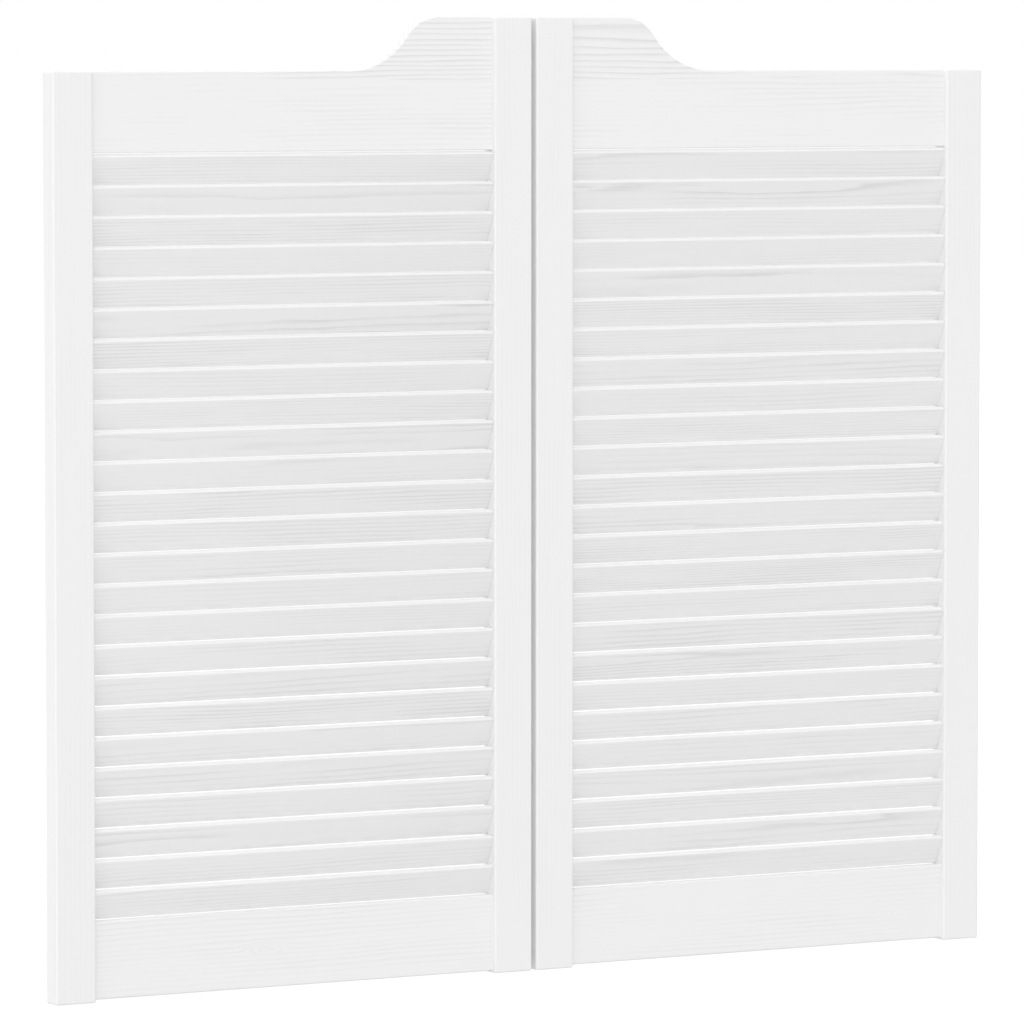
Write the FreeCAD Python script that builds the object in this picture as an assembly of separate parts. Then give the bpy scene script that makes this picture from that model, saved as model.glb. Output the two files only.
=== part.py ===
import FreeCAD, Part

import math
import os

from FreeCAD import Vector

# A pair of cafe swinging doors: two framed leaves with louvred panels and a
# raised shoulder where they meet.  Millimetres.  X runs across the doorway,
# Y from the front face to the back face, Z up.  The origin is the middle of
# the pair, at mid thickness, level with the lower ends of the stiles.
#
# Every piece is made for the right-hand leaf, where X is the distance from the
# middle of the doorway, and mirrored for the left-hand leaf.

# ---------------------------------------------------------------- whole pair
OVERALL_WIDTH = 1000.0      # outer edge of one leaf to outer edge of the other
MEETING_GAP = 5.0           # air between the two leaves
LOW_HEIGHT = 850.0          # outer stile, and the low part of the top rail
RISE = 50.0                 # how far the raised shoulder stands above that

# -------------------------------------------------------------------- frame
STILE_WIDTH = 40.0
STILE_THICKNESS = 22.0
STILE_ARRIS = 1.8           # rounding of the long edges of a stile
STILE_END_BEVEL = 1.0       # small bevel round each end of a stile
TOP_RAIL_HEIGHT = 74.0      # at its low part
BOTTOM_RAIL_HEIGHT = 72.0
RAIL_THICKNESS = 12.0
RAIL_BEVEL = 1.0            # small bevel along the edges of a rail
STILE_HORN = 2.0            # a stile ends this far below the bottom rail

SHOULDER_FLAT = 98.0        # level part of the raised shoulder, from the meeting edge
CREST_RADIUS = 40.0         # outward curve at the top of the sweep
SWEEP_RADIUS = 75.0         # inward curve that lands on the low part

TENON_THICKNESS = 6.0
TENON_SHOULDER = 8.0        # rail wood above and below a tenon
JOINT_CLEARANCE = 0.1       # glue line on each face of a tenon
MORTISE_RELIEF = 1.0        # free depth past the end of a tenon
PIVOT_WALL = 1.5            # stile wood between a mortise and the bore for a pivot

# ------------------------------------------------------------------ louvres
SLAT_THICKNESS = 6.0
SLAT_BEVEL = 1.2            # flat bevel along each edge of a slat
SLAT_TILT = 25.0            # degrees from upright, top edge towards the front
SLAT_TARGET_PITCH = 28.0
SLAT_OVERLAP = 0.0          # how far a slat's heel hangs below the next slat's top
LOUVRE_END_GAP = 1.0        # air between a rail and the slat next to it
HOUSING_DEPTH = 7.0         # slanted housings cut in the stiles for the slat ends
HOUSING_CLEARANCE = 0.1
SLAT_END_CLEARANCE = 0.5
SLAT_GROUPS = ("top", "upper", "middle", "lower", "bottom")

# ------------------------------------------------------------- bottom pivot
PIVOT_SETBACK = 12.0        # pivot axis, in from the outer edge of a leaf
JOURNAL_RADIUS = 4.5
RUNNING_CLEARANCE = 0.05
JOURNAL_LENGTH = 20.0
NECK_RADIUS = 3.0
NECK_LENGTH = 18.0
NECK_CLEARANCE = 0.3
BUSH_WALL = 1.45
BUSH_RECESS = 0.5
THRUST_THICKNESS = 2.0      # end wall of the bush, on which the leaf turns
BARREL_WALL = 1.5
BARREL_CAP = 10.0           # end of the barrel above the bush
BARREL_FLANGE = 2.0         # thickness of the flange let into the end of the stile
BARREL_FLANGE_OVERHANG = 1.0
TAPPED_M6_RADIUS = 2.5
TAPPED_M6_DEPTH = 14.0

# ------------------------------------------------------------- torsion bar
BAR_SIDE = 2.5
BAR_GRIP = 12.0             # length of bar held in the socket at each end
BAR_TOP = 298.0
SOCKET_CLEARANCE = 0.05
SOCKET_RELIEF = 0.5         # free depth past each end of the bar
ANCHOR_RADIUS = 4.0
ANCHOR_CAP = 2.0            # solid end of the anchor above its socket

# ---------------------------------------------------------------- top pivot
PIN_RADIUS = 4.0
PIN_LENGTH = 16.0
PIN_END_GAP = 1.0
PIN_CHAMFER = 0.6
TOP_BUSH_WALL = 1.95
TOP_BUSH_CAP = 3.0
TOP_FLANGE = 1.5            # thickness of the flange let into the end of the stile
TOP_FLANGE_OVERHANG = 2.0
TAPPED_M5_RADIUS = 2.1
TAPPED_M5_DEPTH = 10.0

DRILL_POINT = 59.0          # half angle of a drilled hole's end, degrees
CUT_PAST = 1.0              # how far a cutting shape runs past the face it enters

# ------------------------------------------------------------ worked values
MEETING_EDGE = MEETING_GAP / 2
OUTER_EDGE = OVERALL_WIDTH / 2
PANEL_INNER = MEETING_EDGE + STILE_WIDTH
PANEL_OUTER = OUTER_EDGE - STILE_WIDTH
HIGH_HEIGHT = LOW_HEIGHT + RISE
TOP_RAIL_UNDERSIDE = LOW_HEIGHT - TOP_RAIL_HEIGHT
BOTTOM_RAIL_TOP = STILE_HORN + BOTTOM_RAIL_HEIGHT
PIVOT_X = OUTER_EDGE - PIVOT_SETBACK

TILT = math.radians(SLAT_TILT)
LOUVRE_SPAN = TOP_RAIL_UNDERSIDE - BOTTOM_RAIL_TOP - 2 * LOUVRE_END_GAP
SLAT_COUNT = round(LOUVRE_SPAN / SLAT_TARGET_PITCH)
SLAT_PITCH = LOUVRE_SPAN / SLAT_COUNT
SLAT_FLAT_EDGE = SLAT_THICKNESS - 2 * SLAT_BEVEL
SLAT_RISE = SLAT_PITCH + SLAT_OVERLAP
SLAT_WIDTH = (SLAT_RISE - SLAT_FLAT_EDGE * math.sin(TILT)) / math.cos(TILT)

BUSH_RADIUS = JOURNAL_RADIUS + RUNNING_CLEARANCE + BUSH_WALL
BARREL_RADIUS = BUSH_RADIUS + BARREL_WALL
BARREL_SEAT = JOURNAL_LENGTH + THRUST_THICKNESS
BARREL_TOP = BARREL_SEAT + BARREL_CAP
SPINDLE_TOP = JOURNAL_LENGTH + NECK_LENGTH
ANCHOR_BOTTOM = BAR_TOP - BAR_GRIP
ANCHOR_TOP = BAR_TOP + SOCKET_RELIEF + ANCHOR_CAP
PIN_BOTTOM = LOW_HEIGHT - PIN_LENGTH
TOP_BUSH_RADIUS = PIN_RADIUS + RUNNING_CLEARANCE + TOP_BUSH_WALL
TOP_BUSH_FLOOR = PIN_BOTTOM - PIN_END_GAP
PIVOT_BORE_RADIUS = max(BARREL_RADIUS, TOP_BUSH_RADIUS)
TENON_LENGTH = STILE_WIDTH - PIVOT_SETBACK - PIVOT_BORE_RADIUS - PIVOT_WALL - MORTISE_RELIEF


# ------------------------------------------------------------ basic shapes
def block(x_span, y_span, z_span):
    """A box between two values along each axis."""
    size = [high - low for low, high in (x_span, y_span, z_span)]
    return Part.makeBox(*size, Vector(x_span[0], y_span[0], z_span[0]))


def centred(width):
    """The span of that width about zero."""
    return (-width / 2, width / 2)


def about(middle, width):
    """The span of that width about a middle value."""
    return (middle - width / 2, middle + width / 2)


def column(radius, z_low, z_high, x=PIVOT_X, y=0.0):
    """An upright round column."""
    return Part.makeCylinder(radius, z_high - z_low, Vector(x, y, z_low))


def turned(profile, x=PIVOT_X, y=0.0):
    """A solid turned about an upright axis from (radius, height) points."""
    points = [Vector(x + radius, y, z) for radius, z in profile]
    face = Part.Face(Part.makePolygon(points + points[:1]))
    return face.revolve(Vector(x, y, 0), Vector(0, 0, 1), 360)


def square_bar(side, z_low, z_high):
    """An upright square bar on the pivot axis."""
    return block(about(PIVOT_X, side), centred(side), (z_low, z_high))


def drilled(radius, z_mouth, depth):
    """The space of a blind drilled hole; a negative depth is drilled downwards."""
    point = math.copysign(radius / math.tan(math.radians(DRILL_POINT)), depth)
    mouth = z_mouth - math.copysign(CUT_PAST, depth)
    bottom = z_mouth + depth
    return turned([(0, mouth), (radius, mouth), (radius, bottom), (0, bottom + point)])


def long_edges(shape, direction):
    """The straight edges of a shape that run along a direction."""
    def runs_along(edge):
        if edge.Curve.TypeId != "Part::GeomLine":
            return False
        return abs(edge.tangentAt(edge.FirstParameter).dot(direction)) > 1 - 1e-6
    return [edge for edge in shape.Edges if runs_along(edge)]


# --------------------------------------------------------------- the panel
def slat_blank(length, clearance=0.0):
    """A tilted slat of square section about the origin, or the housing it fits."""
    blank = block(
        centred(length),
        centred(SLAT_THICKNESS + 2 * clearance),
        centred(SLAT_WIDTH + 2 * clearance),
    )
    blank.rotate(Vector(0, 0, 0), Vector(1, 0, 0), SLAT_TILT)
    return blank


def slat_places(x):
    """The middle of every slat in a leaf, from the top one down."""
    first = TOP_RAIL_UNDERSIDE - LOUVRE_END_GAP - SLAT_PITCH / 2
    return [Vector(x, 0, first - SLAT_PITCH * index) for index in range(SLAT_COUNT)]


def slats():
    """All the slats of a leaf, from the top one down."""
    reach = 2 * (HOUSING_DEPTH - SLAT_END_CLEARANCE)
    blank = slat_blank(PANEL_OUTER - PANEL_INNER + reach)
    slat = blank.makeChamfer(SLAT_BEVEL, long_edges(blank, Vector(1, 0, 0)))
    middle = (PANEL_INNER + PANEL_OUTER) / 2
    return [slat.translated(place) for place in slat_places(middle)]


def slat_group(index):
    """One of the equal shares of the slats, counted from the top."""
    every = slats()
    first = round(index * len(every) / len(SLAT_GROUPS))
    last = round((index + 1) * len(every) / len(SLAT_GROUPS))
    return Part.makeCompound(every[first:last])


def housings(panel_side):
    """The slanted housings for the slat ends in the stile beside the panel."""
    housing = slat_blank(2 * HOUSING_DEPTH, HOUSING_CLEARANCE)
    return [housing.translated(place) for place in slat_places(panel_side)]


# --------------------------------------------------------------- the frame
def sweep_outline():
    """The top of the top rail, from the inner stile to the outer one."""
    swing = math.acos(1 - RISE / (CREST_RADIUS + SWEEP_RADIUS))
    crest = Vector(MEETING_EDGE + SHOULDER_FLAT, 0, HIGH_HEIGHT - CREST_RADIUS)
    run = (CREST_RADIUS + SWEEP_RADIUS) * math.sin(swing)
    hollow = Vector(crest.x + run, 0, LOW_HEIGHT + SWEEP_RADIUS)

    def on_crest(angle):
        return crest + Vector(math.sin(angle), 0, math.cos(angle)) * CREST_RADIUS

    def on_hollow(angle):
        return hollow - Vector(math.sin(angle), 0, math.cos(angle)) * SWEEP_RADIUS

    inner_top = Vector(PANEL_INNER, 0, HIGH_HEIGHT)
    outer_top = Vector(PANEL_OUTER, 0, LOW_HEIGHT)
    return [
        Part.LineSegment(inner_top, on_crest(0)),
        Part.Arc(on_crest(0), on_crest(swing / 2), on_crest(swing)),
        Part.Arc(on_hollow(swing), on_hollow(swing / 2), on_hollow(0)),
        Part.LineSegment(on_hollow(0), outer_top),
    ]


def top_rail_board():
    """The shaped board of the top rail, between its shoulders."""
    outer_top = Vector(PANEL_OUTER, 0, LOW_HEIGHT)
    outer_low = Vector(PANEL_OUTER, 0, TOP_RAIL_UNDERSIDE)
    inner_low = Vector(PANEL_INNER, 0, TOP_RAIL_UNDERSIDE)
    inner_top = Vector(PANEL_INNER, 0, HIGH_HEIGHT)
    outline = sweep_outline() + [
        Part.LineSegment(outer_top, outer_low),
        Part.LineSegment(outer_low, inner_low),
        Part.LineSegment(inner_low, inner_top),
    ]
    face = Part.Face(Part.Wire([curve.toShape() for curve in outline]))
    board = face.extrude(Vector(0, RAIL_THICKNESS, 0))
    return board.translated(Vector(0, -RAIL_THICKNESS / 2, 0))


def eased(board):
    """A rail with its edges bevelled along its length; its shoulders stay square."""
    def on_a_face(edge):
        return all(abs(abs(v.Y) - RAIL_THICKNESS / 2) < 1e-6 for v in edge.Vertexes)

    def lengthwise(edge):
        first, last = (vertex.Point for vertex in edge.Vertexes)
        return abs(first.x - last.x) > 1e-6 and abs(first.y - last.y) < 1e-6

    edges = [edge for edge in board.Edges if on_a_face(edge) and lengthwise(edge)]
    return board.makeChamfer(RAIL_BEVEL, edges)


def tenon(shoulder, outwards, z_span, clearance=0.0, extra=0.0):
    """A tenon on a shoulder, or the mortise for it with clearance and extra depth."""
    end = shoulder + outwards * (TENON_LENGTH + extra)
    root = shoulder - outwards * CUT_PAST
    return block(
        (min(root, end), max(root, end)),
        centred(TENON_THICKNESS + 2 * clearance),
        (z_span[0] - clearance, z_span[1] + clearance),
    )


def tenon_spans(panel_side):
    """The heights that the bottom and top rails' tenons fill beside one stile."""
    top = HIGH_HEIGHT if panel_side == PANEL_INNER else LOW_HEIGHT
    bottom_rail = (STILE_HORN + TENON_SHOULDER, BOTTOM_RAIL_TOP - TENON_SHOULDER)
    top_rail = (TOP_RAIL_UNDERSIDE + TENON_SHOULDER, top - TENON_SHOULDER)
    return bottom_rail, top_rail


def top_rail():
    """The swept top rail with its two tenons."""
    rail = eased(top_rail_board())
    inner = tenon(PANEL_INNER, -1, tenon_spans(PANEL_INNER)[1])
    outer = tenon(PANEL_OUTER, 1, tenon_spans(PANEL_OUTER)[1])
    return rail.fuse([inner, outer]).removeSplitter()


def bottom_rail():
    """The plain bottom rail with its two tenons."""
    board = block(
        (PANEL_INNER, PANEL_OUTER),
        centred(RAIL_THICKNESS),
        (STILE_HORN, BOTTOM_RAIL_TOP),
    )
    inner = tenon(PANEL_INNER, -1, tenon_spans(PANEL_INNER)[0])
    outer = tenon(PANEL_OUTER, 1, tenon_spans(PANEL_OUTER)[0])
    return eased(board).fuse([inner, outer]).removeSplitter()


def is_level(edge):
    """Whether an edge lies at one height."""
    return edge.BoundBox.ZLength < 1e-6


def stile(x_span, height, panel_side, outwards):
    """A stile with rounded arrises, mortised for the rails and housed for the slats."""
    board = block(x_span, centred(STILE_THICKNESS), (0, height))
    board = board.makeFillet(STILE_ARRIS, long_edges(board, Vector(0, 0, 1)))
    ends = [edge for edge in board.Edges if is_level(edge)]
    board = board.makeChamfer(STILE_END_BEVEL, ends)
    mortises = [
        tenon(panel_side, outwards, span, JOINT_CLEARANCE, MORTISE_RELIEF)
        for span in tenon_spans(panel_side)
    ]
    return board.cut(mortises + housings(panel_side))


def inner_stile():
    """The taller stile at the meeting edge."""
    return stile((MEETING_EDGE, PANEL_INNER), HIGH_HEIGHT, PANEL_INNER, -1)


def outer_stile():
    """The hanging stile, bored in both ends for the pivots."""
    board = stile((PANEL_OUTER, OUTER_EDGE), LOW_HEIGHT, PANEL_OUTER, 1)
    bores = [
        column(BARREL_RADIUS + BARREL_FLANGE_OVERHANG, -CUT_PAST, BARREL_FLANGE),
        column(BARREL_RADIUS, 0, BARREL_TOP),
        column(ANCHOR_RADIUS, 0, ANCHOR_TOP),
        column(TOP_BUSH_RADIUS, TOP_BUSH_FLOOR - TOP_BUSH_CAP, LOW_HEIGHT),
        column(TOP_BUSH_RADIUS + TOP_FLANGE_OVERHANG, LOW_HEIGHT - TOP_FLANGE, LOW_HEIGHT + CUT_PAST),
    ]
    return board.cut(bores)


# --------------------------------------------------------- bottom pivot set
def bottom_barrel():
    """The flanged sleeve in the stile that holds the bush and carries the leaf."""
    return turned([
        (BUSH_RADIUS, 0),
        (BARREL_RADIUS + BARREL_FLANGE_OVERHANG, 0),
        (BARREL_RADIUS + BARREL_FLANGE_OVERHANG, BARREL_FLANGE),
        (BARREL_RADIUS, BARREL_FLANGE),
        (BARREL_RADIUS, BARREL_TOP),
        (NECK_RADIUS + NECK_CLEARANCE, BARREL_TOP),
        (NECK_RADIUS + NECK_CLEARANCE, BARREL_SEAT),
        (BUSH_RADIUS, BARREL_SEAT),
    ])


def bottom_bush():
    """The bush round the spindle; its end wall stands on the spindle's shoulder."""
    bore = JOURNAL_RADIUS + RUNNING_CLEARANCE
    neck = NECK_RADIUS + NECK_CLEARANCE
    return turned([
        (bore, BUSH_RECESS),
        (BUSH_RADIUS, BUSH_RECESS),
        (BUSH_RADIUS, BARREL_SEAT),
        (neck, BARREL_SEAT),
        (neck, JOURNAL_LENGTH),
        (bore, JOURNAL_LENGTH),
    ])


def bottom_spindle():
    """The fixed spindle that the leaf stands and turns on."""
    body = turned([
        (0, 0),
        (JOURNAL_RADIUS, 0),
        (JOURNAL_RADIUS, JOURNAL_LENGTH),
        (NECK_RADIUS, JOURNAL_LENGTH),
        (NECK_RADIUS, SPINDLE_TOP),
        (0, SPINDLE_TOP),
    ])
    side = BAR_SIDE + 2 * SOCKET_CLEARANCE
    socket = square_bar(side, SPINDLE_TOP - BAR_GRIP - SOCKET_RELIEF, SPINDLE_TOP + CUT_PAST)
    return body.cut([socket, drilled(TAPPED_M6_RADIUS, 0, TAPPED_M6_DEPTH)])


def torsion_bar():
    """The square spring bar that brings the leaf back to the middle."""
    return square_bar(BAR_SIDE, SPINDLE_TOP - BAR_GRIP, BAR_TOP)


def torsion_anchor():
    """The plug high in the stile that grips the upper end of the bar."""
    side = BAR_SIDE + 2 * SOCKET_CLEARANCE
    socket = square_bar(side, ANCHOR_BOTTOM - CUT_PAST, BAR_TOP + SOCKET_RELIEF)
    return column(ANCHOR_RADIUS, ANCHOR_BOTTOM, ANCHOR_TOP).cut(socket)


# ------------------------------------------------------------ top pivot set
def top_bush():
    """The flanged cup bush in the upper end of the outer stile."""
    flange = TOP_BUSH_RADIUS + TOP_FLANGE_OVERHANG
    bore = PIN_RADIUS + RUNNING_CLEARANCE
    return turned([
        (0, TOP_BUSH_FLOOR - TOP_BUSH_CAP),
        (TOP_BUSH_RADIUS, TOP_BUSH_FLOOR - TOP_BUSH_CAP),
        (TOP_BUSH_RADIUS, LOW_HEIGHT - TOP_FLANGE),
        (flange, LOW_HEIGHT - TOP_FLANGE),
        (flange, LOW_HEIGHT),
        (bore, LOW_HEIGHT),
        (bore, TOP_BUSH_FLOOR),
        (0, TOP_BUSH_FLOOR),
    ])


def top_pin():
    """The fixed pin that steadies the top of the leaf."""
    body = turned([
        (0, PIN_BOTTOM),
        (PIN_RADIUS - PIN_CHAMFER, PIN_BOTTOM),
        (PIN_RADIUS, PIN_BOTTOM + PIN_CHAMFER),
        (PIN_RADIUS, LOW_HEIGHT),
        (0, LOW_HEIGHT),
    ])
    return body.cut(drilled(TAPPED_M5_RADIUS, LOW_HEIGHT, -TAPPED_M5_DEPTH))


# ------------------------------------------------------------------ writing
def opposite(shape):
    """The same piece for the left-hand leaf."""
    return shape.mirror(Vector(0, 0, 0), Vector(1, 0, 0))


def pair(shape):
    """The two like pieces that stand fixed in the doorway, left and right."""
    return Part.makeCompound([opposite(shape), shape])


def leaf_pieces():
    """Every piece of the right-hand leaf, and its torsion bar, by name."""
    pieces = {
        "outer_stile": outer_stile(),
        "inner_stile": inner_stile(),
        "top_rail": top_rail(),
        "bottom_rail": bottom_rail(),
        "bottom_barrel": bottom_barrel(),
        "pivot_bushes": Part.makeCompound([bottom_bush(), top_bush()]),
        "torsion_bar": torsion_bar(),
        "torsion_anchor": torsion_anchor(),
    }
    for index, place in enumerate(SLAT_GROUPS):
        pieces["slats_" + place] = slat_group(index)
    return pieces


def main():
    """Writes one file for each piece or set of like pieces."""
    os.makedirs("parts", exist_ok=True)
    for name, shape in leaf_pieces().items():
        shape.exportStep("parts/right_" + name + ".step")
        opposite(shape).exportStep("parts/left_" + name + ".step")
    pair(bottom_spindle()).exportStep("parts/bottom_spindles.step")
    pair(top_pin()).exportStep("parts/top_pins.step")


main()
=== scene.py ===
import logging
import math
import random
from dataclasses import dataclass
from enum import Enum

import bpy
from mathutils import Matrix, Vector


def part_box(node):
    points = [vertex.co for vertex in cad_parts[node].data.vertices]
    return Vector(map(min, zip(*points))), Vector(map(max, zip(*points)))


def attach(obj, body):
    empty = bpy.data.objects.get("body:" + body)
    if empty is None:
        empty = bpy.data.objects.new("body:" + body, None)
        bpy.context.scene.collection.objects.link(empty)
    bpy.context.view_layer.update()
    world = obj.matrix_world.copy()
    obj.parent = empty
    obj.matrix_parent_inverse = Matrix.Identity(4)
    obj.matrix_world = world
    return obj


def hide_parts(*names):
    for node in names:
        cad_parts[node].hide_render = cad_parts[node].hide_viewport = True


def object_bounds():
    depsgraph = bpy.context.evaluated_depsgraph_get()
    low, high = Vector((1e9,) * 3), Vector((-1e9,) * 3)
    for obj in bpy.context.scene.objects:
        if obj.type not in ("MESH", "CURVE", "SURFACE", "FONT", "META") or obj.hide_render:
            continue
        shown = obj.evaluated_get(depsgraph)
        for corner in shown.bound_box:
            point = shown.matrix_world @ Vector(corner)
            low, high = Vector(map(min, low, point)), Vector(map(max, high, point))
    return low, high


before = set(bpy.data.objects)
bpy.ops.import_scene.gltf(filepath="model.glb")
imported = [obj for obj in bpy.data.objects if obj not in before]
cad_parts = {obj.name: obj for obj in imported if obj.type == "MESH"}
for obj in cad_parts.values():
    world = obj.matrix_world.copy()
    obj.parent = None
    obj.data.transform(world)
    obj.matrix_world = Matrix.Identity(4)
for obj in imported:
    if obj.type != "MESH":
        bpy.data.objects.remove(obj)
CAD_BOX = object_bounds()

# A pair of louvred cafe doors in brushed and painted pine, on concealed
# double-acting pivots.  Metres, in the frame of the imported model: X across the
# doorway, Y from the front face to the back face, Z up.  Grain and tool marks
# are in millimetres, and angles in degrees.

MM = 0.001
SEED = 25                       # for the slats' places in their logs
MERGE_DISTANCE = 0.001 * MM     # packed points closer than this are one point
FLAT_ANGLE = 0.5                # packed faces turned less than this are one face
NOISE_MIDDLE = 0.5              # a noise texture's value on average
WAVE_BANDS = 3.2                # bands to the metre in a wave texture at scale 1
WHITE = (1.0, 1.0, 1.0, 1.0)
LOG = logging.getLogger("cafe_doors")
LOG_PLACE = "log_place"         # the attribute with a slat's place in its log
BRUSHED = "brushed"             # the attribute with how deeply a slat was brushed

Pair = tuple[float, float]
Triple = tuple[float, float, float]
Colour = tuple[float, float, float, float]
Socket = bpy.types.NodeSocket
Tree = bpy.types.NodeTree
Material = bpy.types.Material
Object = bpy.types.Object


# ------------------------------------------------------------------ choices
class Hand(Enum):
    """Which leaf of the pair a piece belongs to."""

    LEFT = "left"
    RIGHT = "right"

    @property
    def body(self) -> str:
        """The moving body of that leaf."""
        return f"{self.value}_leaf"


class Lengthwise(Enum):
    """Which axis the grain of a board runs along, as (along, across, through)."""

    LEVEL = ("X", "Z", "Y")
    UPRIGHT = ("Z", "X", "Y")


# ------------------------------------------------------------- node helpers
def linear(colour: str) -> Colour:
    """Turns an sRGB hex colour to the linear values that a shader takes.

    Args:
        colour: six hex digits after a hash sign.

    Returns:
        Red, green, blue and an alpha of 1.
    """
    channels = [int(colour[at:at + 2], 16) / 255 for at in (1, 3, 5)]
    red, green, blue = (
        value / 12.92 if value <= 0.04045 else ((value + 0.055) / 1.055) ** 2.4
        for value in channels
    )
    return red, green, blue, 1.0


def add_node(
    tree: Tree,
    kind: str,
    settings: dict | None = None,
    inputs: dict | None = None,
) -> bpy.types.Node:
    """Adds one node with its settings and its inputs.

    Args:
        tree: the node tree it goes in.
        kind: Blender's name for the node's type.
        settings: properties of the node.
        inputs: values by input name or number; a socket is linked.

    Returns:
        The node.
    """
    node = tree.nodes.new(kind)
    for name, value in (settings or {}).items():
        setattr(node, name, value)
    for name, value in (inputs or {}).items():
        if isinstance(value, Socket):
            tree.links.new(value, node.inputs[name])
        else:
            node.inputs[name].default_value = value
    return node


def new_material(name: str) -> Material:
    """Starts an empty node material.

    Args:
        name: the material's name.

    Returns:
        The material, with no nodes in it.
    """
    material = bpy.data.materials.new(name)
    material.use_nodes = True
    material.node_tree.nodes.clear()
    return material


def put_out(tree: Tree, shader: Socket) -> None:
    """Links a shader to the material's output."""
    add_node(tree, "ShaderNodeOutputMaterial", inputs={"Surface": shader})


# ----------------------------------------------------------------- finishes
@dataclass(frozen=True)
class Board:
    """Where one board was cut from its log; all sizes in millimetres.

    The grain is a set of rings round the pith, which runs along the board
    beside or behind it, so a board cut close to the pith shows long arches.
    A pin knot is given by its place along and across the board.  A rail may
    have a block from another log glued on above its glue line.
    """

    lengthwise: Lengthwise
    across: float = 0.0
    behind: float = 40.0
    shift: float = 0.0
    brushed: float = 1.0
    knot: Pair | None = None
    glue_line: float = 0.0
    block: "Board | None" = None

    def log_offset(self) -> Vector:
        """From a place on the board to the same place in the log, in metres."""
        return Vector((self.shift, -self.across, self.behind)) * MM


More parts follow.
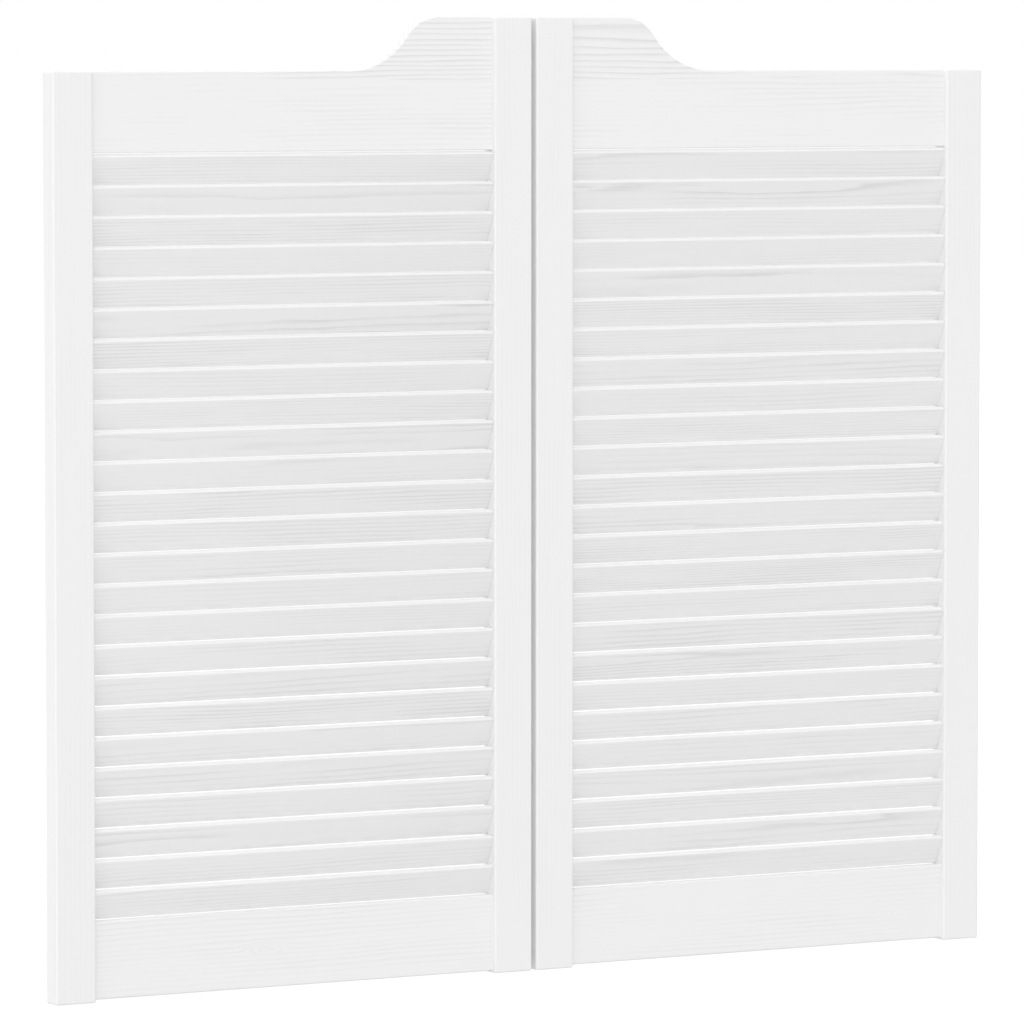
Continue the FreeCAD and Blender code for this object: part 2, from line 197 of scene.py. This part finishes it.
@dataclass(frozen=True)
class PaintedPine:
    """Waterborne satin enamel sprayed on wire-brushed pine.

    Brushing takes out the soft early wood, so the paint follows fine grooves
    along the rings.  It is drawn a shade greyer in them, partly the grain's own
    tone and partly painted shade for the shadow in the grooves.  Real fibres are
    some 0.03 mm wide.  They are drawn as streaks half a millimetre wide, coarse
    enough for the nap under the paint to show.

    Sizes in threes are along the grain and both ways across it.  The groove's
    profile pairs places in a ring with depths, and where the patches' noise
    goes through patch_noise, the depth of brushing goes through patch_depth.
    """

    paint: str = "#F2F2F2"
    # the grooves' colour: partly the grain's own tone, partly painted shade for their shadow
    groove_tint_and_shade: str = "#E2E2E2"
    roughness: Pair = (0.41, 0.53)
    ring_mm: float = 4.6
    slope: float = 0.006
    wander_mm: float = 6.0
    wander_size_mm: Triple = (260.0, 30.0, 30.0)
    wander_detail: float = 4.0
    groove_mm: float = 0.07
    groove_profile: tuple[Pair, ...] = ((0.14, 0.62), (0.34, 0.16), (0.6, 0.0), (0.9, 0.0))
    patch_size_mm: Triple = (170.0, 24.0, 24.0)
    patch_detail: float = 2.0
    patch_noise: Pair = (0.4, 0.64)
    patch_depth: Pair = (0.1, 1.0)
    fibre_mm: float = 0.018
    fibre_size_mm: Triple = (26.0, 0.55, 0.55)
    fibre_detail: float = 3.0
    knot_length_mm: float = 34.0
    knot_width_mm: float = 8.0
    knot_rings: float = 2.6

    def for_board(self, name: str, board: Board) -> Material:
        """Makes the finish for one stile or rail.

        Args:
            name: the board's name.
            board: where the board was cut from its log.

        Returns:
            The material, which reads Object coordinates.
        """
        material = new_material(f"painted_brushed_pine_{name}")
        tree = material.node_tree
        place = add_node(tree, "ShaderNodeTexCoord").outputs["Object"]
        axes = add_node(tree, "ShaderNodeSeparateXYZ", inputs={"Vector": place}).outputs
        along, across, through = (axes[axis] for axis in board.lengthwise.value)
        turned = add_node(tree, "ShaderNodeCombineXYZ", inputs={
            "X": along, "Y": across, "Z": through})
        offset, brushed = board.log_offset(), board.brushed
        if board.block:
            offset, brushed = self.glued_block(tree, across, board, board.block)
        moved = add_node(tree, "ShaderNodeVectorMath", {"operation": "ADD"}, {
            0: turned.outputs[0], 1: offset})
        bulge = self.knot_bulge(tree, along, across, board.knot) if board.knot else 0.0
        self.finish(tree, moved.outputs[0], brushed, bulge)
        return material

    def for_slats(self) -> Material:
        """Makes the finish that all slats share; each slat holds its own place in its log.

        Returns:
            The material, which reads the slats' two attributes.
        """
        material = new_material("painted_brushed_pine_slats")
        tree = material.node_tree
        place = add_node(tree, "ShaderNodeAttribute", {"attribute_name": LOG_PLACE})
        brushed = add_node(tree, "ShaderNodeAttribute", {"attribute_name": BRUSHED})
        self.finish(tree, place.outputs["Vector"], brushed.outputs["Fac"], 0.0)
        return material

    def glued_block(
        self,
        tree: Tree,
        across: Socket,
        board: Board,
        block: Board,
    ) -> tuple[Socket, Socket]:
        """Changes to the grain of another board above the glue line.

        Args:
            tree: the material's node tree.
            across: place across the board, in metres.
            board: the board below the glue line.
            block: the block above it.

        Returns:
            The offset to the log in metres, and how deeply the wood was brushed.
        """
        above = add_node(tree, "ShaderNodeMath", {"operation": "GREATER_THAN"}, {
            0: across, 1: board.glue_line * MM}).outputs[0]
        offset = add_node(tree, "ShaderNodeMix", {"data_type": "VECTOR"}, {
            "Factor": above, "A": board.log_offset(), "B": block.log_offset()})
        brushed = add_node(tree, "ShaderNodeMapRange", inputs={
            "Value": above, "To Min": board.brushed, "To Max": block.brushed})
        return offset.outputs["Result"], brushed.outputs[0]

    def knot_bulge(self, tree: Tree, along: Socket, across: Socket, knot: Pair) -> Socket:
        """Pushes the rings out round a pin knot.

        Args:
            tree: the material's node tree.
            along: place along the board, in metres.
            across: place across the board, in metres.
            knot: the knot's place along and across, in millimetres.

        Returns:
            How far the rings are pushed, in metres.
        """
        place = add_node(tree, "ShaderNodeCombineXYZ", inputs={"X": along, "Y": across})
        offset = Vector((-knot[0], -knot[1], 0.0)) * MM
        moved = add_node(tree, "ShaderNodeVectorMath", {"operation": "ADD"}, {
            0: place.outputs[0], 1: offset})
        drawn = Vector((1 / self.knot_length_mm, 1 / self.knot_width_mm, 0.0)) / MM
        scaled = add_node(tree, "ShaderNodeVectorMath", {"operation": "MULTIPLY"}, {
            0: moved.outputs[0], 1: drawn})
        length = add_node(tree, "ShaderNodeVectorMath", {"operation": "LENGTH"}, {
            0: scaled.outputs[0]})
        bulge = add_node(tree, "ShaderNodeMapRange", {"interpolation_type": "SMOOTHERSTEP"}, {
            "Value": length.outputs["Value"], "From Min": 0.0, "From Max": 1.0,
            "To Min": self.knot_rings * self.ring_mm * MM, "To Max": 0.0})
        return bulge.outputs[0]

    def patches(self, tree: Tree, place: Socket, size_mm: Triple, detail: float) -> Socket:
        """Scatters soft patches of a real size through the log.

        Args:
            tree: the material's node tree.
            place: coordinates in the log, in metres.
            size_mm: a patch's size along the grain and both ways across it.
            detail: how many finer layers the patches have.

        Returns:
            A value from 0 to 1, near the middle on average.
        """
        scale = Vector(1 / (size * MM) for size in size_mm)
        point = add_node(tree, "ShaderNodeVectorMath", {"operation": "MULTIPLY"}, {
            0: place, 1: scale})
        noise = add_node(tree, "ShaderNodeTexNoise", inputs={
            "Vector": point.outputs[0], "Scale": 1.0, "Detail": detail})
        return noise.outputs[0]

    def ring_phase(self, tree: Tree, place: Socket, bulge: Socket | float) -> Socket:
        """Finds how far a point lies on the way from one ring to the next.

        The rings follow the distance from the pith, with the taper and the
        wander of a real trunk.

        Args:
            tree: the material's node tree.
            place: coordinates in the log, in metres, with the pith at Y = Z = 0.
            bulge: how far a knot pushes the rings out, in metres.

        Returns:
            0 where a ring starts, and nearly 1 where it ends.
        """
        axes = add_node(tree, "ShaderNodeSeparateXYZ", inputs={"Vector": place}).outputs
        flat = add_node(tree, "ShaderNodeCombineXYZ", inputs={"Y": axes["Y"], "Z": axes["Z"]})
        length = add_node(tree, "ShaderNodeVectorMath", {"operation": "LENGTH"}, {
            0: flat.outputs[0]})
        taper = add_node(tree, "ShaderNodeMath", {"operation": "MULTIPLY"}, {
            0: axes["X"], 1: self.slope})
        tapered = add_node(tree, "ShaderNodeMath", {"operation": "ADD"}, {
            0: length.outputs["Value"], 1: taper.outputs[0]})
        radius = add_node(tree, "ShaderNodeMath", {"operation": "ADD"}, {
            0: tapered.outputs[0], 1: bulge})
        drift = add_node(tree, "ShaderNodeMath", {"operation": "SUBTRACT"}, {
            0: self.patches(tree, place, self.wander_size_mm, self.wander_detail),
            1: NOISE_MIDDLE})
        wander = add_node(tree, "ShaderNodeMath", {"operation": "MULTIPLY"}, {
            0: drift.outputs[0], 1: 2 * self.wander_mm * MM})
        wandered = add_node(tree, "ShaderNodeMath", {"operation": "ADD"}, {
            0: radius.outputs[0], 1: wander.outputs[0]})
        rings = add_node(tree, "ShaderNodeMath", {"operation": "DIVIDE"}, {
            0: wandered.outputs[0], 1: self.ring_mm * MM})
        phase = add_node(tree, "ShaderNodeMath", {"operation": "FRACT"}, {0: rings.outputs[0]})
        return phase.outputs[0]

    def groove_depth(
        self,
        tree: Tree,
        place: Socket,
        phase: Socket,
        brushed: Socket | float,
    ) -> Socket:
        """Finds how deep the brush cut.

        A groove starts sharply at the late wood and runs out softly, and some
        stretches were brushed deeper than others.

        Args:
            tree: the material's node tree.
            place: coordinates in the log, in metres.
            phase: how far the point lies on the way from one ring to the next.
            brushed: how deeply the board was brushed.

        Returns:
            0 where the wood was left, and brushed where a groove is deepest.
        """
        groove = add_node(tree, "ShaderNodeValToRGB", inputs={"Fac": phase})
        stops = groove.color_ramp.elements
        for end in stops:
            end.color = WHITE
        for at, depth in self.groove_profile:
            stops.new(at).color = (depth, depth, depth, 1.0)
        patch = add_node(tree, "ShaderNodeMapRange", inputs={
            "Value": self.patches(tree, place, self.patch_size_mm, self.patch_detail),
            "From Min": self.patch_noise[0], "From Max": self.patch_noise[1],
            "To Min": self.patch_depth[0], "To Max": self.patch_depth[1]})
        reach = add_node(tree, "ShaderNodeMath", {"operation": "MULTIPLY"}, {
            0: patch.outputs[0], 1: brushed})
        cut = add_node(tree, "ShaderNodeMath", {"operation": "MULTIPLY"}, {
            0: groove.outputs["Color"], 1: reach.outputs[0]})
        return cut.outputs[0]

    def finish(
        self,
        tree: Tree,
        place: Socket,
        brushed: Socket | float,
        bulge: Socket | float,
    ) -> None:
        """Builds the grain, the grooves and the paint over them, painted greyer in the grooves
        partly as grain tone and partly as painted shade.

        Args:
            tree: the material's node tree.
            place: coordinates in metres, X along the grain and the pith at Y = Z = 0.
            brushed: how deeply the board was brushed, about 1 for a slat.
            bulge: how far a knot pushes the rings out, in metres.
        """
        phase = self.ring_phase(tree, place, bulge)
        depth = self.groove_depth(tree, place, phase, brushed)
        fibre = self.patches(tree, place, self.fibre_size_mm, self.fibre_detail)
        cut = add_node(tree, "ShaderNodeMath", {"operation": "MULTIPLY"}, {
            0: depth, 1: -self.groove_mm})
        nap = add_node(tree, "ShaderNodeMath", {"operation": "MULTIPLY"}, {
            0: fibre, 1: self.fibre_mm})
        height = add_node(tree, "ShaderNodeMath", {"operation": "ADD"}, {
            0: cut.outputs[0], 1: nap.outputs[0]})
        bump = add_node(tree, "ShaderNodeBump", inputs={
            "Height": height.outputs[0], "Distance": MM})
        # the grooves are painted greyer by their depth: partly grain tone, partly painted shade
        # where their shadow falls
        grain_tint_and_shade = add_node(tree, "ShaderNodeMix", {"data_type": "RGBA"}, {
            "Factor": depth, "A": linear(self.paint), "B": linear(self.groove_tint_and_shade)})
        sheen = add_node(tree, "ShaderNodeMapRange", inputs={
            "Value": fibre, "To Min": self.roughness[0], "To Max": self.roughness[1]})
        paint = add_node(tree, "ShaderNodeBsdfPrincipled", inputs={
            "Base Color": grain_tint_and_shade.outputs["Result"], "Roughness": sheen.outputs[0],
            "Normal": bump.outputs[0]})
        put_out(tree, paint.outputs[0])


@dataclass(frozen=True)
class TurnedSteel:
    """Free-cutting steel turned on a lathe and bright zinc plated.

    The tool leaves fine rings round the pivot's axis, which draw the highlight
    out along the pin.  A finishing cut leaves them closer than this, and they
    are drawn wider apart so that they show.
    """

    tint: str = "#B9BBBE"
    roughness: Pair = (0.26, 0.42)
    feed_mm: float = 0.35
    ridge_mm: float = 0.01
    distortion: float = 0.4
    haze_mm: float = 10 / 3
    haze_detail: float = 3.0

    def material(self) -> Material:
        """Makes the finish.

        Returns:
            The material, which reads Object coordinates.
        """
        material = new_material("turned_zinc_plated_steel")
        tree = material.node_tree
        place = add_node(tree, "ShaderNodeTexCoord").outputs["Object"]
        ridges = add_node(tree, "ShaderNodeTexWave", {"bands_direction": "Z"}, {
            "Vector": place, "Scale": 1 / (self.feed_mm * MM * WAVE_BANDS),
            "Distortion": self.distortion})
        bump = add_node(tree, "ShaderNodeBump", inputs={
            "Height": ridges.outputs["Fac"], "Distance": self.ridge_mm * MM})
        haze = add_node(tree, "ShaderNodeTexNoise", inputs={
            "Vector": place, "Scale": 1 / (self.haze_mm * MM), "Detail": self.haze_detail})
        rough = add_node(tree, "ShaderNodeMapRange", inputs={
            "Value": haze.outputs[0], "To Min": self.roughness[0], "To Max": self.roughness[1]})
        steel = add_node(tree, "ShaderNodeBsdfPrincipled", inputs={
            "Base Color": linear(self.tint), "Metallic": 1.0,
            "Roughness": rough.outputs[0], "Normal": bump.outputs[0]})
        put_out(tree, steel.outputs[0])
        return material


@dataclass(frozen=True)
class SpringSteel:
    """Cold drawn spring steel, hardened and oil blued: dark, with drawing lines.

    The die leaves finer lines than these, which are drawn wide enough to show.
    """

    tint: str = "#3C4048"
    roughness: Pair = (0.28, 0.52)
    line_mm: float = 0.2
    line_length_mm: float = 50.0

    def material(self) -> Material:
        """Makes the finish.

        Returns:
            The material, which reads Object coordinates.
        """
        material = new_material("oil_blued_spring_steel")
        tree = material.node_tree
        place = add_node(tree, "ShaderNodeTexCoord").outputs["Object"]
        across, along = 1 / (self.line_mm * MM), 1 / (self.line_length_mm * MM)
        stretched = add_node(tree, "ShaderNodeVectorMath", {"operation": "MULTIPLY"}, {
            0: place, 1: Vector((across, across, along))})
        lines = add_node(tree, "ShaderNodeTexNoise", inputs={
            "Vector": stretched.outputs[0], "Scale": 1.0})
        rough = add_node(tree, "ShaderNodeMapRange", inputs={
            "Value": lines.outputs[0], "To Min": self.roughness[0], "To Max": self.roughness[1]})
        steel = add_node(tree, "ShaderNodeBsdfPrincipled", inputs={
            "Base Color": linear(self.tint), "Metallic": 1.0, "Roughness": rough.outputs[0]})
        put_out(tree, steel.outputs[0])
        return material


@dataclass(frozen=True)
class MachinedAcetal:
    """Black acetal turned from rod: dull, with a faint waxy sheen."""

    tint: str = "#232325"
    roughness: Pair = (0.42, 0.58)
    cloud_mm: float = 2.0
    ior: float = 1.48

    def material(self) -> Material:
        """Makes the finish.

        Returns:
            The material, which reads Object coordinates.
        """
        material = new_material("machined_acetal")
        tree = material.node_tree
        place = add_node(tree, "ShaderNodeTexCoord").outputs["Object"]
        cloud = add_node(tree, "ShaderNodeTexNoise", inputs={
            "Vector": place, "Scale": 1 / (self.cloud_mm * MM)})
        rough = add_node(tree, "ShaderNodeMapRange", inputs={
            "Value": cloud.outputs[0], "To Min": self.roughness[0], "To Max": self.roughness[1]})
        acetal = add_node(tree, "ShaderNodeBsdfPrincipled", inputs={
            "Base Color": linear(self.tint), "Roughness": rough.outputs[0], "IOR": self.ior})
        put_out(tree, acetal.outputs[0])
        return material


# ------------------------------------------------------------ mesh helpers
def deselect() -> None:
    """Leaves object mode with nothing selected."""
    if bpy.context.object and bpy.context.object.mode != "OBJECT":
        bpy.ops.object.mode_set(mode="OBJECT")
    bpy.ops.object.select_all(action="DESELECT")


def pick(piece: Object) -> None:
    """Makes one piece the selected, active one.

    Args:
        piece: the piece that operators then act on.
    """
    deselect()
    piece.select_set(True)
    bpy.context.view_layer.objects.active = piece


def dress(piece: Object, material: Material) -> None:
    """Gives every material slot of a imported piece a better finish.

    Args:
        piece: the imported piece, whose mesh stays as it is.
        material: its finish.
    """
    for slot in piece.material_slots:
        slot.link = "OBJECT"
        slot.material = material


def smooth_copy(node: str, name: str, angle: float) -> Object:
    """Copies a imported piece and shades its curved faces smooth.

    Args:
        node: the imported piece's name.
        name: the new piece's name.
        angle: edges sharper than this stay sharp.

    Returns:
        The new piece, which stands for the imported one.
    """
    piece = bpy.data.objects.new(name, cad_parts[node].data.copy())
    bpy.context.scene.collection.objects.link(piece)
    pick(piece)
    bpy.ops.object.mode_set(mode="EDIT")
    bpy.ops.mesh.select_all(action="SELECT")
    bpy.ops.mesh.remove_doubles(threshold=MERGE_DISTANCE)
    bpy.ops.mesh.dissolve_limited(angle_limit=math.radians(FLAT_ANGLE))
    bpy.ops.mesh.customdata_custom_splitnormals_clear()
    bpy.ops.object.mode_set(mode="OBJECT")
    bpy.ops.object.shade_smooth_by_angle(angle=math.radians(angle))
    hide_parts(node)
    return piece


# -------------------------------------------------------------- assemblies
@dataclass
class Louvre:
    """The fixed slats of one leaf, let into both stiles.

    The pairs from across_mm to brushed are the least and the most that a slat
    may have: its distance to the side of the pith and in front of it, its place
    along the trunk in metres, how tight its rings are, and how deeply its faces
    were brushed.  A vertex within face_slack of a face lies on it.
    """

    hand: Hand
    material: Material
    rng: random.Random
    count: int = 25
    thickness: float = 6.0 * MM
    tilt: float = 25.0
    edge_radius: float = 1.3 * MM
    edge_segments: int = 4
    smooth_angle: float = 40.0
    across_mm: Pair = (4.0, 60.0)
    behind_mm: Pair = (8.0, 30.0)
    along_trunk: Pair = (-4.0, 4.0)
    tightness: Pair = (0.8, 1.6)
    brushed: Pair = (0.4, 1.25)
    edge_brushed: float = 0.2
    face_slack: float = 0.01 * MM
    groups: tuple[str, ...] = ("top", "upper", "middle", "lower", "bottom")

    def nodes(self) -> list[str]:
        """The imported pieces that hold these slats, from the top down."""
        return [f"{self.hand.value}_slats_{group}" for group in self.groups]

    def blank(self, length: float, width: float) -> Object:
        """Models one slat, level and upright, about the origin.

        The first leaf's slats also get rounded ends, hidden in the housings: its
        long edges are picked in vertex mode, in which edit mode then takes in the
        short ones.  Edge mode, set before they are picked, would leave those out.

        Args:
            length: along the grain.
            width: from its lower edge to its upper edge.

        Returns:
            A slat with rounded long edges.
        """
        deselect()
        # Without a UV map: nothing reads one, and a bevel can fill it differently each run.
        bpy.ops.mesh.primitive_cube_add(
            size=1.0, calc_uvs=False, location=(0, 0, 0), scale=(length, self.thickness, width))
        slat = bpy.context.object
        bpy.ops.object.mode_set(mode="EDIT")
        bpy.ops.mesh.select_all(action="DESELECT")
        bpy.ops.object.mode_set(mode="OBJECT")
        for edge in slat.data.edges:
            first, last = (slat.data.vertices[at].co for at in edge.vertices)
            edge.select = abs(first.x - last.x) > length / 2
        bpy.ops.object.mode_set(mode="EDIT")
        bpy.ops.mesh.select_mode(type="EDGE")
        bpy.ops.mesh.bevel(offset=self.edge_radius, segments=self.edge_segments, profile=0.5)
        bpy.ops.object.mode_set(mode="OBJECT")
        bpy.ops.object.shade_smooth_by_angle(angle=math.radians(self.smooth_angle))
        return slat

    def mark_log_place(self, slat: Object) -> None:
        """Gives each vertex its place in the log, and how deeply it was brushed.

        Each slat comes from another log, so some have tighter rings than others
        and some are softer, and brush deeper.  The brush runs along the two faces
        and hardly reaches the sanded edges.

        Args:
            slat: a slat that is still level, upright and about the origin.
        """
        across = self.rng.choice((-1, 1)) * self.rng.uniform(*self.across_mm) * MM
        behind = self.rng.uniform(*self.behind_mm) * MM
        along = self.rng.uniform(*self.along_trunk)
        tightness = self.rng.uniform(*self.tightness)
        face_brushed = self.rng.uniform(*self.brushed)
        values = []
        for vertex in slat.data.vertices:
            upwards, inwards = vertex.co.z + across, vertex.co.y + behind
            values += [vertex.co.x + along, upwards * tightness, inwards * tightness]
        place = slat.data.attributes.new(LOG_PLACE, "FLOAT_VECTOR", "POINT")
        place.data.foreach_set("vector", values)
        brushed = slat.data.attributes.new(BRUSHED, "FLOAT", "POINT")
        on_face = self.thickness / 2 - self.face_slack
        brushed.data.foreach_set("value", [
            face_brushed if abs(vertex.co.y) > on_face else self.edge_brushed
            for vertex in slat.data.vertices])

    def build(self) -> None:
        """Models every slat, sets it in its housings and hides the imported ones."""
        boxes = [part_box(node) for node in self.nodes()]
        low = Vector(min(box[0][axis] for box in boxes) for axis in range(3))
        high = Vector(max(box[1][axis] for box in boxes) for axis in range(3))
        pitch = (high.z - low.z) / self.count
        tilt = math.radians(self.tilt)
        rounded = 2 * self.edge_radius
        rise = pitch - rounded - (self.thickness - rounded) * math.sin(tilt)
        blank = self.blank(high.x - low.x, rise / math.cos(tilt) + rounded)
        lean = Matrix.Rotation(tilt, 4, "X")
        for index in range(self.count):
            slat = bpy.data.objects.new(f"{self.hand.value}_slat_{index + 1:02d}", blank.data.copy())
            bpy.context.scene.collection.objects.link(slat)
            self.mark_log_place(slat)
            middle = Vector(((low.x + high.x) / 2, 0, high.z - pitch * (index + 0.5)))
            slat.data.transform(Matrix.Translation(middle) @ lean)
            slat.data.materials.append(self.material)
            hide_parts(self.nodes()[index * len(self.groups) // self.count])
            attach(slat, self.hand.body)
            LOG.info("slat %s", slat.name)
        mesh = blank.data
        bpy.data.objects.remove(blank)
        bpy.data.meshes.remove(mesh)


@dataclass
class Surround:
    """The two stiles and two rails of one leaf."""

    hand: Hand
    pine: PaintedPine
    smooth_angle: float = 30.0

    def packed_boards(self) -> dict[str, Board]:
        """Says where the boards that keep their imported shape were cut.

        Returns:
            The boards, by the name of their piece.
        """
        turn = 1.0 if self.hand is Hand.LEFT else -1.0
        knot = (-283.0, 39.0) if self.hand is Hand.LEFT else None
        return {
            "outer_stile": Board(
                Lengthwise.UPRIGHT, across=turn * -440.0, behind=24.0, shift=310.0,
                brushed=0.24),
            "inner_stile": Board(
                Lengthwise.UPRIGHT, across=turn * -60.0, behind=20.0, shift=1270.0,
                brushed=0.24),
            "bottom_rail": Board(
                Lengthwise.LEVEL, across=98.0, behind=18.0, shift=turn * 700.0,
                brushed=0.5, knot=knot),
        }

    def top_board(self) -> Board:
        """Says where the top rail was cut, and the block glued on above it.

        Returns:
            The rail's board, which holds the block's.
        """
        if self.hand is Hand.LEFT:
            shift = -6220.0
            block = Board(
                Lengthwise.LEVEL, across=925.0, behind=24.0, shift=220.0, brushed=1.1)
        else:
            shift = -2400.0
            block = Board(
                Lengthwise.LEVEL, across=905.0, behind=45.0, shift=-7760.0, brushed=1.15)
        return Board(
            Lengthwise.LEVEL, across=905.0, behind=45.0, shift=shift, brushed=0.6,
            glue_line=842.0, block=block)

    def build(self) -> None:
        """Dresses the stiles and the bottom rail, and smooths the swept top rail."""
        side = self.hand.value
        for name, board in self.packed_boards().items():
            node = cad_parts[f"{side}_{name}"]
            dress(node, self.pine.for_board(f"{side}_{name}", board))
            LOG.info("board %s", node.name)
        rail = smooth_copy(f"{side}_top_rail", f"{side}_swept_top_rail", self.smooth_angle)
        rail.data.materials.clear()
        rail.data.materials.append(self.pine.for_board(f"{side}_top_rail", self.top_board()))
        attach(rail, self.hand.body)
        LOG.info("board %s", rail.name)


@dataclass
class Pivots:
    """The concealed pivots and the torsion bars."""

    steel: Material
    spring: Material
    acetal: Material

    def build(self) -> None:
        """Dresses the hardware of both leaves."""
        finishes = {"bottom_spindles": self.steel, "top_pins": self.steel}
        for hand in Hand:
            finishes[f"{hand.value}_bottom_barrel"] = self.steel
            finishes[f"{hand.value}_torsion_anchor"] = self.steel
            finishes[f"{hand.value}_torsion_bar"] = self.spring
            finishes[f"{hand.value}_pivot_bushes"] = self.acetal
        for name, material in finishes.items():
            dress(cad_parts[name], material)
            LOG.info("pivot piece %s", name)


# ------------------------------------------------------------------ studio
@dataclass(frozen=True)
class SoftBox:
    """A large soft lamp."""

    name: str
    at: Triple
    width: float
    power: float

    def place(self, aim: Vector) -> None:
        """Hangs the lamp and turns it to what it lights.

        Args:
            aim: the point that it faces.
        """
        lamp = bpy.data.lights.new(self.name, "AREA")
        lamp.shape, lamp.size, lamp.energy = "SQUARE", self.width, self.power
        holder = bpy.data.objects.new(self.name, lamp)
        holder.location = self.at
        holder.rotation_euler = (aim - holder.location).to_track_quat("-Z", "Y").to_euler()
        holder.visible_camera = False
        bpy.context.scene.collection.objects.link(holder)


@dataclass
class Studio:
    """Camera, soft light, pale floor and white surroundings."""

    camera_at: Triple = (-3.2354, -5.7328, 0.8743)
    camera_heading: float = 29.302
    camera_pitch: float = 3.824
    lens: float = 245.74
    sensor: float = 36.0
    floor_drop: float = 0.45
    floor_size: float = 60.0
    floor_paint: str = "#CFCFCF"
    floor_glow: Pair = (0.36, 0.52)
    floor_reach: Pair = (1.5, 12.0)
    ambient: float = 1.3
    ambient_slope: Triple = (-0.392, -0.178, -0.592)
    lamps: tuple[SoftBox, ...] = (
        SoftBox("front_softbox", at=(-4.43, -7.68, 2.01), width=4.0, power=60.0),
        SoftBox("overhead_softbox", at=(-1.16, -2.02, 9.14), width=4.0, power=36.0),
        SoftBox("back_softbox", at=(2.9, 7.9, 3.5), width=4.0, power=95.0),
    )

    def set_camera(self) -> None:
        """Stands the camera to the left of the doors, level with their tops."""
        camera = bpy.data.cameras.new("camera")
        camera.lens, camera.sensor_width = self.lens, self.sensor
        holder = bpy.data.objects.new("camera", camera)
        holder.location = self.camera_at
        holder.rotation_euler = (
            math.radians(90 - self.camera_pitch), 0, -math.radians(self.camera_heading))
        bpy.context.scene.collection.objects.link(holder)
        bpy.context.scene.camera = holder

    def set_world(self) -> None:
        """Lights from all round and shows plain white behind.

        More of the light comes from the left and the front than from the right
        and the back, and less from above than from the sides.
        """
        world = bpy.data.worlds.new("surroundings")
        bpy.context.scene.world = world
        world.use_nodes = True
        tree = world.node_tree
        tree.nodes.clear()
        way = add_node(tree, "ShaderNodeTexCoord").outputs["Generated"]
        lean = add_node(tree, "ShaderNodeVectorMath", {"operation": "DOT_PRODUCT"}, {
            0: way, 1: self.ambient_slope})
        level = add_node(tree, "ShaderNodeMath", {"operation": "ADD"}, {
            0: lean.outputs["Value"], 1: self.ambient})
        light = add_node(tree, "ShaderNodeBackground", inputs={
            "Color": WHITE, "Strength": level.outputs[0]})
        white = add_node(tree, "ShaderNodeBackground", inputs={"Color": WHITE})
        mix = add_node(tree, "ShaderNodeMixShader", inputs={
            0: self.seen(tree), 1: light.outputs[0], 2: white.outputs[0]})
        add_node(tree, "ShaderNodeOutputWorld", inputs={"Surface": mix.outputs[0]})

    def seen(self, tree: Tree) -> Socket:
        """Makes a switch for what the camera, a reflection or clear glass sees.

        Args:
            tree: the node tree it goes in.

        Returns:
            1 for camera, glossy and transmission rays, and 0 for light.
        """
        path = add_node(tree, "ShaderNodeLightPath").outputs
        both = add_node(tree, "ShaderNodeMath", {"operation": "MAXIMUM"}, {
            0: path["Is Camera Ray"], 1: path["Is Glossy Ray"]})
        every = add_node(tree, "ShaderNodeMath", {"operation": "MAXIMUM"}, {
            0: both.outputs[0], 1: path["Is Transmission Ray"]})
        return every.outputs[0]

    def set_floor(self) -> None:
        """Lays a pale floor below the doors, white to the eye except in shadow.

        The lamps light it less far off, so it glows a little more there, and
        from beneath it is clear.
        """
        deselect()
        bpy.ops.mesh.primitive_plane_add(size=self.floor_size, location=(0, 0, -self.floor_drop))
        floor = bpy.context.object
        floor.name = "floor"
        material = new_material("pale_floor")
        tree = material.node_tree
        paint = add_node(tree, "ShaderNodeBsdfDiffuse", inputs={"Color": linear(self.floor_paint)})
        place = add_node(tree, "ShaderNodeTexCoord").outputs["Object"]
        far = add_node(tree, "ShaderNodeVectorMath", {"operation": "LENGTH"}, {0: place})
        level = add_node(tree, "ShaderNodeMapRange", inputs={
            "Value": far.outputs["Value"],
            "From Min": self.floor_reach[0], "From Max": self.floor_reach[1],
            "To Min": self.floor_glow[0], "To Max": self.floor_glow[1]})
        glow = add_node(tree, "ShaderNodeEmission", inputs={"Strength": level.outputs[0]})
        lifted = add_node(tree, "ShaderNodeAddShader", inputs={
            0: paint.outputs[0], 1: glow.outputs[0]})
        mix = add_node(tree, "ShaderNodeMixShader", inputs={
            0: self.seen(tree), 1: paint.outputs[0], 2: lifted.outputs[0]})
        beneath = add_node(tree, "ShaderNodeNewGeometry").outputs["Backfacing"]
        clear = add_node(tree, "ShaderNodeBsdfTransparent")
        sided = add_node(tree, "ShaderNodeMixShader", inputs={
            0: beneath, 1: mix.outputs[0], 2: clear.outputs[0]})
        put_out(tree, sided.outputs[0])
        floor.data.materials.append(material)

    def build(self) -> None:
        """Sets up everything round the doors."""
        self.set_camera()
        self.set_world()
        self.set_floor()
        middle = (CAD_BOX[0] + CAD_BOX[1]) / 2
        for lamp in self.lamps:
            lamp.place(middle)
        bpy.context.scene.view_settings.view_transform = "Standard"


def main() -> None:
    """Builds the studio, then each leaf, then the pivots."""
    logging.basicConfig(level=logging.INFO, format="%(message)s")
    Studio().build()
    pine = PaintedPine()
    slats = pine.for_slats()
    rng = random.Random(SEED)
    for hand in Hand:
        Surround(hand, pine).build()
        Louvre(hand, slats, rng).build()
    Pivots(TurnedSteel().material(), SpringSteel().material(), MachinedAcetal().material()).build()


if __name__ == "__main__":
    main()
